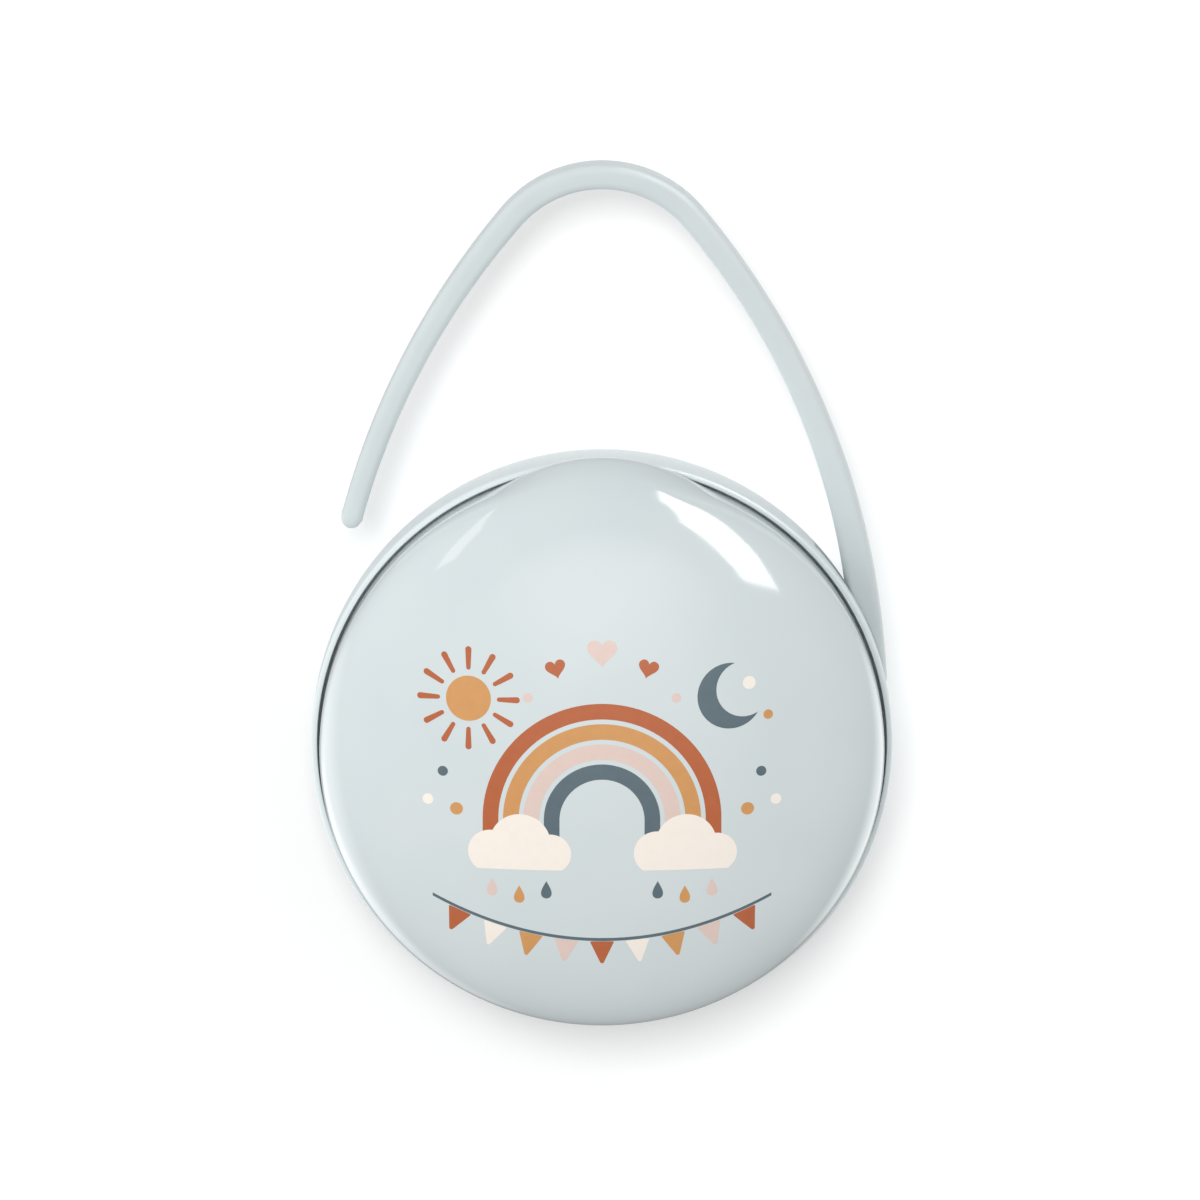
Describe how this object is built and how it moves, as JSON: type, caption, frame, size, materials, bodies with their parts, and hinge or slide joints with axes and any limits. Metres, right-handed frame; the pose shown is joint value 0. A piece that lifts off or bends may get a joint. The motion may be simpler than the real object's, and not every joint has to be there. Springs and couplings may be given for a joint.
{
  "type": "pacifier case",
  "caption": "Round pacifier case that opens like a shell, with a domed hinged lid, a snap catch, a flat back and a hooked carrying strap on a pivot.",
  "frame": {"origin": "middle of the back's flat, on the surface that the case lies on", "axes": "+Z out through the lid, +Y from the hinge to the thumb lip and on up the strap, +X to the side that the strap is pinned on"},
  "size_m": [0.0864, 0.1299, 0.047],
  "materials": {
    "shell_plastic": "gloss",
    "strap_plastic": "satin",
    "pin_steel": "brushed"
  },
  "bodies": {
    "base": {"rim_ring": "shell_plastic", "back_cover": "shell_plastic", "hinge_pin": "pin_steel", "strap_pin": "pin_steel"},
    "lid": {"front_lid": "shell_plastic"},
    "carry_strap": {"strap": "strap_plastic"}
  },
  "joints": [
    {"name": "lid_hinge", "type": "hinge", "parent": "base", "child": "lid", "pos_m": [0, -0.0413, 0.0253], "axis": [1, 0, 0], "range_deg": [0, 110]},
    {"name": "strap_pivot", "type": "hinge", "parent": "base", "child": "carry_strap", "pos_m": [0.03975, 0.009, 0.0197], "axis": [0, 0, -1], "range_deg": [-8, 35]}
  ]
}
